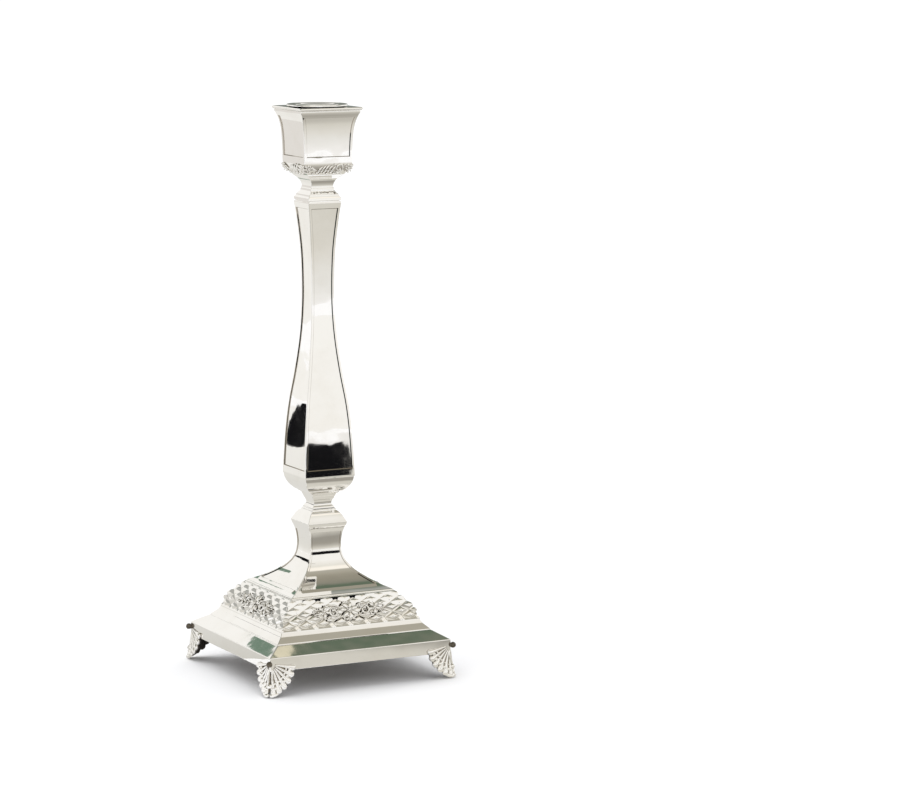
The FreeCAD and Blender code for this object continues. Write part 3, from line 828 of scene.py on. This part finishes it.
FOOT_HALF = 49.0
FOOT_BEND = 3.0
TOE_KICK = 1.55
KICK_LEVEL = 15.0
STUD_HEIGHT = 16.4
FAN_BEARINGS = (13, 29, 44, 58, 71, 83)
FLUTE_STEPS = (0.16, 0.3, 0.45, 0.6, 0.74, 0.85, 0.93, 0.98, 1.0)
FLUTE_WIDTHS = (0.26, 0.44, 0.62, 0.8, 1.05, 1.65, 1.75, 1.25, 0.4)
SHEET_REACH = (12.4, 14.9)
SHEET_THICKNESS = 1.0
SHEET_RING = 2.4
SHEET_CUTS = (1.0, 2.36, 4.0, 7.0, 10.0)


def bent_round_corner(point):
    """Place, in metres, on the front left corner of a flat point: across, up from the stud, proud."""
    height = STUD_HEIGHT + point.y
    drop = min(max(1 - height / KICK_LEVEL, 0.0), 1.0)
    half = FOOT_HALF + TOE_KICK * drop ** 1.6
    arc = FOOT_BEND * math.pi / 4
    middle = Vector((FOOT_BEND - half, FOOT_BEND - half, height))
    if abs(point.x) < arc:
        angle = math.radians(225) + point.x / FOOT_BEND
        return (middle + Vector((math.cos(angle), math.sin(angle), 0)) * (FOOT_BEND + point.z)) * MM
    along = abs(point.x) - arc
    if point.x > 0:
        return (middle + Vector((along, -FOOT_BEND - point.z, 0))) * MM
    return (middle + Vector((-FOOT_BEND - point.z, along, 0))) * MM


def fan_reach(angle):
    """How far the foot's fan reaches from the stud, by the angle below level."""
    return 12.9 + 2.9 * math.sin(angle) ** 2


def make_foot():
    """Shell foot: flutes fanned out from the stud to rounded lobes, bosses between them, a crescent
    toe with a pierced drop, and a thin sheet behind."""
    parts = []
    for degrees in FAN_BEARINGS:
        angle = math.radians(degrees)
        reach = fan_reach(angle)
        innermost = degrees == FAN_BEARINGS[-1]
        wide = 0.72 if innermost else 1.0
        path = [(reach * t * math.cos(angle), -reach * t * math.sin(angle)) for t in FLUTE_STEPS]
        parts.append(drawn(path, [width * wide for width in FLUTE_WIDTHS], 0.9, 10, proud=0.2))
        if not innermost:
            between = angle + math.radians(7.5)
            for share, size in ((0.62, 0.6), (0.77, 0.95)):
                parts.append(bead(reach * share * math.cos(between),
                                  -reach * share * math.sin(between), size, 0.75))
    toe = [(0.0, -15.15), (1.5, -15.05), (3.0, -14.75), (4.4, -14.1), (5.4, -13.2)]
    parts.append(drawn(toe, [1.1, 1.15, 1.05, 0.75, 0.2], 1.0, 10, proud=0.35))
    parts.append(leaf((0.55, -2.2), (0.9, -10.5), 0.42, 0.02, 1.1, proud=0.45))
    parts.append(bead(1.2, -12.0, 0.8, 0.6))
    bridge = bead(0, -10.6, 1.25, 0.9)
    foot = joined("foot", mirrored_parts(parts + [make_foot_sheet()]) + [bridge])
    finish_casting(foot, -0.55, 0.65)
    for vert in foot.data.vertices:
        vert.co = bent_round_corner(vert.co)
    return foot


def make_foot_sheet():
    """The thin sheet behind one half of the fan, divided finely where it bends round the corner."""
    bpy.ops.object.select_all(action="DESELECT")
    bpy.ops.mesh.primitive_circle_add(vertices=48, radius=1, fill_type="NGON",
                                      location=(0, 0, -SHEET_THICKNESS))
    sheet = name_new("foot_sheet")
    bpy.ops.object.transform_apply(location=True)
    edit(sheet)
    bpy.ops.mesh.select_all(action="SELECT")
    bpy.ops.transform.resize(value=(*SHEET_REACH, 1))
    for _ in range(4):
        bpy.ops.mesh.inset(thickness=SHEET_RING)
    bpy.ops.mesh.select_all(action="SELECT")
    bpy.ops.mesh.extrude_region_move(TRANSFORM_OT_translate={"value": (0, 0, SHEET_THICKNESS)})
    leave()
    cut(sheet, (0, -1.4, 0), (0, 1, 0))
    cut(sheet, (0, 0, 0), (-1, 0, 0))
    for x in SHEET_CUTS:
        edit(sheet)
        bpy.ops.mesh.select_all(action="SELECT")
        bpy.ops.mesh.bisect(plane_co=(x, 0, 0), plane_no=(1, 0, 0))
        leave()
    return sheet


def make_feet():
    return place_four(make_foot(), "shell_foot", "foot", CORNERS)


# ---------------------------------------------------------------- finishes

class Value:
    """A number that varies over a surface; adding to it or multiplying it makes Math nodes."""

    def __init__(self, finish, socket):
        self.finish = finish
        self.socket = socket

    def maths(self, operation, *terms):
        return self.finish.node("ShaderNodeMath", {"operation": operation}, dict(enumerate(terms)))

    def __add__(self, other):
        return self.maths("ADD", self, other)

    def __mul__(self, other):
        return self.maths("MULTIPLY", self, other)

    __radd__ = __add__
    __rmul__ = __mul__

    def above(self, low, high):
        """0 below low, 1 above high, and eased between them."""
        return self.finish.node("ShaderNodeMapRange", {"interpolation_type": "SMOOTHSTEP"},
                                {0: self, 1: low, 2: high, 3: 0.0, 4: 1.0})


class Finish:
    """A node tree under construction: a metal on the piece, or the room around it."""

    def __init__(self, owner):
        owner.use_nodes = True
        self.owner = owner
        self.tree = owner.node_tree
        self.tree.nodes.clear()

    def node(self, kind, settings, sockets, output=0):
        made = self.tree.nodes.new(kind)
        for key, value in settings.items():
            if key == "stops":
                ramp = made.color_ramp.elements
                while len(ramp) < len(value):
                    ramp.new(0.5)
                for stop, (place, colour) in zip(ramp, value):
                    stop.position = place
                    stop.color = colour
            else:
                setattr(made, key, value)
        for key, value in sockets.items():
            if isinstance(value, Value):
                self.tree.links.new(value.socket, made.inputs[key])
            else:
                made.inputs[key].default_value = value
        return Value(self, made.outputs[output]) if made.outputs else None

    def place(self, kind="Object"):
        return self.node("ShaderNodeTexCoord", {}, {}, kind)

    def stretched(self, x, y, z):
        return self.node("ShaderNodeMapping", {}, {"Vector": self.place(), "Scale": (x, y, z)})

    def grain(self, scale, detail=3.0, rough=0.5, where=None):
        return self.node("ShaderNodeTexNoise", {}, {
            "Vector": where or self.place(), "Scale": scale, "Detail": detail, "Roughness": rough})

    def hollows(self):
        """How deep a point lies in the relief, from 0 to 1."""
        return self.node("ShaderNodeAttribute", {"attribute_name": HOLLOW}, {}, "Fac")

    def blend(self, share, low, high):
        return self.node("ShaderNodeMix", {"data_type": "RGBA"}, {0: share, 6: low, 7: high}, 2)

    def metal(self, colour, roughness, waviness, depth):
        bump = self.node("ShaderNodeBump", {}, {
            "Height": waviness, "Strength": 1.0, "Distance": depth})
        shader = self.node("ShaderNodeBsdfPrincipled", {}, {
            "Base Color": colour, "Metallic": 1.0, "Roughness": roughness, "Normal": bump})
        self.node("ShaderNodeOutputMaterial", {}, {"Surface": shader})
        return self.owner


BRIGHT_SILVER = (0.935, 0.922, 0.895, 1)
WORN_SILVER = (0.86, 0.835, 0.785, 1)
TARNISH_AND_EDGE_SHADE = (0.30, 0.26, 0.205, 1)
SOOT = (0.045, 0.04, 0.035, 1)
STEEL_GREY = (0.42, 0.41, 0.39, 1)
STEEL_DARK = (0.20, 0.18, 0.16, 1)
RUST = (0.16, 0.075, 0.035, 1)


def polished_silver(name, rubbed=0.035):
    """Silver plate: bright, faintly wavy from the hammer, with wiping marks and painted shade on the
    sloping edges of sunk panels.
    """
    finish = Finish(bpy.data.materials.new(name))
    cloud = finish.grain(38.0, 4.0, 0.6)
    wiping = finish.grain(1.0, 5.0, 0.65, finish.stretched(900, 900, 160))
    specks = finish.grain(1500.0, 2.0, 0.5)
    worn = finish.blend(cloud.above(0.42, 0.72) * 0.55 + specks.above(0.66, 0.78) * 0.25,
                        BRIGHT_SILVER, WORN_SILVER)
    hollow = finish.hollows()
    # Painted shade: where the hollow attribute marks a sunk panel's sloping edge, the colour is darkened
    # towards the tarnish colour.
    colour = finish.blend(hollow * 0.85, worn, TARNISH_AND_EDGE_SHADE)
    roughness = 0.016 + wiping * rubbed + cloud.above(0.5, 0.8) * 0.04
    waves = finish.grain(95.0, 1.0, 0.4) + wiping * 0.012
    return finish.metal(colour, roughness, waves, 0.00009)


def cast_silver(name, grimed=0.0):
    """Cast and chased silver, dark where polish has never reached into the hollows."""
    finish = Finish(bpy.data.materials.new(name))
    hollow = finish.hollows()
    grime = (hollow + finish.grain(700.0, 4.0, 0.6) * 0.30 + (grimed - 0.15)).above(0.22, 0.95)
    silver = finish.blend(finish.grain(420.0, 3.0).above(0.45, 0.7) * 0.5, BRIGHT_SILVER, WORN_SILVER)
    dull = finish.blend((grime * 1.8).above(0.0, 1.0), silver, TARNISH_AND_EDGE_SHADE)
    colour = finish.blend(grime.above(0.45, 1.0), dull, SOOT)
    roughness = 0.08 + grime * 0.38 + finish.grain(1900.0, 2.0) * 0.05
    skin = finish.grain(1300.0, 3.0, 0.6)
    return finish.metal(colour, roughness, skin, 0.00004)


def turned_steel(name, rust):
    """Plain steel of the hidden fixings: fine turning lines, with dull rust in patches."""
    finish = Finish(bpy.data.materials.new(name))
    lines = finish.grain(1.0, 4.0, 0.6, finish.stretched(300, 300, 5200))
    patches = finish.grain(160.0, 5.0, 0.62).above(0.50, 0.72) * rust
    steel = finish.blend(lines, STEEL_DARK, STEEL_GREY)
    colour = finish.blend(patches, steel, RUST)
    roughness = 0.28 + lines * 0.14 + patches * 0.35
    return finish.metal(colour, roughness, lines + patches * 0.8, 0.00008)


# ---------------------------------------------------------------- studio

TURN = math.radians(-24.93)
RISE = math.radians(8.156)
DISTANCE = 1.6964
AIM = Vector((0, 0, 0.140))
LENS = 134.33
AIM_LEFT = math.radians(2.364)
AIM_ABOVE = math.radians(0.164)
ROLL = math.radians(-0.237)


def make_camera():
    camera = bpy.data.objects.new("camera", bpy.data.cameras.new("camera"))
    bpy.context.scene.collection.objects.link(camera)
    back = Vector((math.sin(TURN) * math.cos(RISE), -math.cos(TURN) * math.cos(RISE), math.sin(RISE)))
    upright = (-back).to_track_quat("-Z", "Y").to_matrix()
    seen = Vector((-math.tan(AIM_LEFT), math.tan(AIM_ABOVE), -1)).normalized()
    roll = Matrix.Rotation(ROLL, 3, "Z")
    turned = upright @ (roll @ seen).rotation_difference(Vector((0, 0, -1))).to_matrix() @ roll
    camera.matrix_world = Matrix.Translation(AIM + back * DISTANCE) @ turned.to_4x4()
    camera.data.lens = LENS
    camera.data.sensor_width = 36.0
    camera.data.clip_end = 50
    bpy.context.scene.camera = camera


def glowing(panel, colour, ends=None):
    """Makes a panel glow, seen only as a reflection in the silver; ends fades it along its length."""
    finish = Finish(bpy.data.materials.new(panel.name))
    if ends:
        along = finish.node("ShaderNodeSeparateXYZ", {}, {0: finish.place()}, 1)
        share = finish.node("ShaderNodeMapRange", {}, {0: along, 1: ends[0], 2: ends[1]})
        colour = finish.node("ShaderNodeValToRGB", {"stops": colour}, {0: share})
    glow = finish.node("ShaderNodeEmission", {}, {"Color": colour, "Strength": 1.0})
    finish.node("ShaderNodeOutputMaterial", {}, {"Surface": glow})
    panel.data.materials.append(finish.owner)
    panel.visible_camera = False
    panel.visible_diffuse = False
    panel.visible_shadow = False


def card(name, point, normal, distance, size, colour, aside=0.0, above=0.0):
    """A small round-cornered panel hung where the camera sees it mirrored at a point of the silver
    with that normal. Point, size and shifts are in millimetres, the distance in metres."""
    point = Vector(point) * MM
    view = (point - bpy.context.scene.camera.location).normalized()
    away = view.reflect(Vector(normal).normalized())
    level = Vector(normal).cross(Vector((0, 0, 1))).normalized()
    across = (level - away * level.dot(away)).normalized()
    upward = across.cross(away)
    bpy.ops.object.select_all(action="DESELECT")
    bpy.ops.mesh.primitive_circle_add(vertices=24, radius=0.5, fill_type="NGON")
    panel = name_new(name)
    middle = point + away * distance + (across * aside + upward * above) * MM
    for vert in panel.data.vertices:
        square = max(abs(vert.co.x), abs(vert.co.y)) * 2
        x, y = (axis / square ** CARD_SQUARENESS for axis in vert.co.xy)
        vert.co = middle + (across * x * size[0] + upward * y * size[1]) * MM
    glowing(panel, (*colour, 1))


def floor_card(name, bearing, colours):
    """A panel lying on the floor, from near to far along a bearing, fading along its length."""
    middle = (FLOOR_CARD_NEAR + FLOOR_CARD_FAR) / 2
    bpy.ops.object.select_all(action="DESELECT")
    bpy.ops.mesh.primitive_plane_add(size=1, location=(0, 0, 0))
    panel = name_new(name)
    for vert in panel.data.vertices:
        vert.co = (vert.co.x * FLOOR_CARD_WIDTH,
                   middle + vert.co.y * (FLOOR_CARD_FAR - FLOOR_CARD_NEAR), FLOOR_CARD_LEVEL)
    panel.rotation_euler = (0, 0, math.radians(bearing) - math.pi)
    glowing(panel, colours, (FLOOR_CARD_NEAR, FLOOR_CARD_FAR))


def make_floor():
    bpy.ops.object.select_all(action="DESELECT")
    bpy.ops.mesh.primitive_plane_add(size=8, location=(0, 0, 0))
    floor = name_new("floor")
    finish = Finish(bpy.data.materials.new("pale_floor"))
    paper = finish.grain(9.0, 3.0)
    colour = finish.blend(paper, (0.955, 0.96, 0.972, 1), (0.965, 0.968, 0.978, 1))
    shader = finish.node("ShaderNodeBsdfPrincipled", {}, {"Base Color": colour, "Roughness": 0.9})
    finish.node("ShaderNodeOutputMaterial", {}, {"Surface": shader})
    floor.data.materials.append(finish.owner)


ROOM_WHITE = (1.02, 1.02, 1.02, 1)
DIFFUSE_WHITE = (0.82, 0.82, 0.825, 1)
SIDE_WHITE = (0.935, 0.925, 0.90, 1)
SUN_SHARE = 0.95
SUN_SPREAD = math.radians(65)
SUN_LEAN = (math.radians(-18), math.radians(-14), 0)
ROOM_STRENGTH = 1.05
CEILING = [
    (0.06, (0.98, 0.97, 0.96, 1)), (0.16, (0.90, 0.88, 0.84, 1)), (0.25, (0.80, 0.78, 0.72, 1)),
    (0.30, (1.0, 0.95, 0.87, 1)), (0.345, (1.0, 0.95, 0.87, 1)), (0.37, (0.44, 0.42, 0.36, 1)),
    (0.45, (0.40, 0.375, 0.31, 1)), (0.56, (0.30, 0.28, 0.225, 1)), (0.60, (0.24, 0.235, 0.19, 1)),
    (0.625, (0.12, 0.155, 0.11, 1)), (0.69, (0.12, 0.155, 0.11, 1)), (0.74, (0.42, 0.42, 0.40, 1)),
]


def make_room():
    """Even white light and a broad soft sun. Mirrored rays see pale walls and a ceiling that is pale
    in front, then a cream lamp, olive grey overhead, and green and grey behind."""
    room = Finish(bpy.data.worlds.new("studio"))
    bpy.context.scene.world = room.owner
    way = room.place("Generated")
    ahead = room.node("ShaderNodeSeparateXYZ", {}, {0: way}, 1)
    height = room.node("ShaderNodeSeparateXYZ", {}, {0: way}, 2)
    ceiling = room.node("ShaderNodeValToRGB", {"stops": CEILING}, {0: ahead * 0.5 + 0.5})
    seen = room.blend(height.above(0.46, 0.60), SIDE_WHITE, ceiling)
    mirrored = room.node("ShaderNodeLightPath", {}, {}, "Is Glossy Ray")
    direct = room.node("ShaderNodeLightPath", {}, {}, "Is Camera Ray")
    lit = room.blend(direct, DIFFUSE_WHITE, ROOM_WHITE)
    light = room.node("ShaderNodeBackground", {}, {
        "Color": room.blend(mirrored, lit, seen), "Strength": ROOM_STRENGTH})
    room.node("ShaderNodeOutputWorld", {}, {"Surface": light})
    sun = bpy.data.objects.new("soft_light", bpy.data.lights.new("soft_light", "SUN"))
    bpy.context.scene.collection.objects.link(sun)
    sun.data.energy = SUN_SHARE
    sun.data.angle = SUN_SPREAD
    sun.rotation_euler = SUN_LEAN
    sun.visible_glossy = False


FRONT = (0, -1, 0)
LEFT = (-1, 0, 0)
FRONT_SLOPE = (0, -SLOPE_RISE, SLOPE_RUN)
LEFT_SLOPE = (-SLOPE_RISE, 0, SLOPE_RUN)
BLACK = (0.006, 0.006, 0.007)
CREAM = (0.78, 0.73, 0.56)
GREEN = (0.17, 0.25, 0.19)
SOFT_GREY = (0.79, 0.765, 0.735)
MID_GREY = (0.36, 0.35, 0.32)
DUSK = (0.22, 0.24, 0.215)
FLOOR_FADE = [
    (0.0, (0.70, 0.68, 0.62, 1)), (0.025, (0.66, 0.64, 0.58, 1)), (0.04, (0.34, 0.325, 0.29, 1)),
    (0.08, (0.37, 0.35, 0.31, 1)), (0.155, (0.54, 0.52, 0.47, 1)), (0.24, (0.68, 0.66, 0.60, 1)),
    (0.44, (0.77, 0.75, 0.70, 1)), (0.66, (0.84, 0.83, 0.80, 1)), (1.0, (0.97, 0.96, 0.95, 1)),
]
SIDE_FADE = [
    (0.0, (0.66, 0.65, 0.61, 1)), (0.04, (0.76, 0.75, 0.72, 1)), (0.15, (0.80, 0.79, 0.75, 1)),
    (0.30, (0.89, 0.88, 0.85, 1)), (0.60, (0.94, 0.93, 0.90, 1)), (1.0, (0.97, 0.96, 0.94, 1)),
]
CARD_DISTANCE = 0.22
CARD_SQUARENESS = 0.7
FLOOR_CARD_NEAR = 0.06
FLOOR_CARD_FAR = 2.4
FLOOR_CARD_WIDTH = 1.6
FLOOR_CARD_LEVEL = 0.0005


def make_studio():
    make_camera()
    make_floor()
    make_room()
    floor_card("floor_front", 25, FLOOR_FADE)
    floor_card("floor_side", 205, SIDE_FADE)
    card("dark_on_belly", (0, -13, 109), FRONT, CARD_DISTANCE, (38, 32), BLACK, aside=8, above=15)
    card("dark_beside", (-13, 0, 122), LEFT, CARD_DISTANCE, (15, 40), BLACK, aside=0.5, above=19)
    card("grey_beside", (-13, 0, 258), LEFT, CARD_DISTANCE, (60, 150), SOFT_GREY, above=40)
    card("cream_above", (-40, -45, 21), FRONT_SLOPE, 0.40, (12, 40), CREAM)
    card("green_above", (-45, -31, 21), LEFT_SLOPE, 0.40, (14.2, 16), GREEN)
    card("green_on_spire", (-24, 0, 44.2), (-0.45, 0, 0.89), 0.25, (75, 12), GREEN)
    card("grey_on_cup", (0, -13, 257), FRONT, CARD_DISTANCE, (50, 7), MID_GREY)
    card("dark_past_left", (0, -10, 186), (-0.82, -0.574, 0), 0.25, (52, 210), BLACK)
    card("dark_past_front", (-10, 0, 186), (-0.574, -0.82, 0), 0.25, (30, 210), BLACK)
    card("dusk_behind", (0, 0, 250), (0, -0.01, 1), 0.6, (300, 560), DUSK)
    bpy.context.scene.view_settings.view_transform = "Standard"


# ---------------------------------------------------------------- the candlestick

silver = polished_silver("silver_plate")
cast = cast_silver("chased_silver")
socket_silver = polished_silver("socket_silver", rubbed=0.07)
stud = cast_silver("stud_silver", grimed=0.72)
steel = turned_steel("turned_steel", 0.5)
sheet = turned_steel("sheet_steel", 0.9)


def place(obj, node, finish, slot, body="stand"):
    obj.data.materials.clear()
    obj.data.materials.append(finish)
    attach(obj, body)
    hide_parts(node)


for node, make in (
        ("plinth", make_plinth), ("base_step", make_base_step),
        ("quilted_band", make_quilted_band), ("base_spire", make_base_spire),
        ("base_collar", make_base_collar), ("stem_neck", make_stem_neck),
        ("stem_ovolo", make_stem_ovolo), ("stem", make_stem), ("stem_cap", make_stem_cap),
        ("cup_neck", make_cup_neck), ("candle_cup", make_candle_cup), ("cup_lip", make_cup_lip)):
    piece = make()
    smooth(piece)
    place(piece, node, silver, "silver_plate")

for make in (make_sprays, make_garlands, make_feet):
    for node, piece in make().items():
        place(piece, node, cast, "cast_silver")

liner = make_candle_liner()
smooth(liner)
place(liner, "candle_liner", socket_silver, "liner_silver", "liner")

for node, finish in (("foot_studs", stud), ("tie_rod", steel), ("top_washer", steel), ("top_nut", steel),
                     ("bottom_washer", steel), ("bottom_nut", steel), ("base_plate", sheet)):
    for slot in frame["nodes"][node].material_slots:
        slot.material = finish

make_studio()
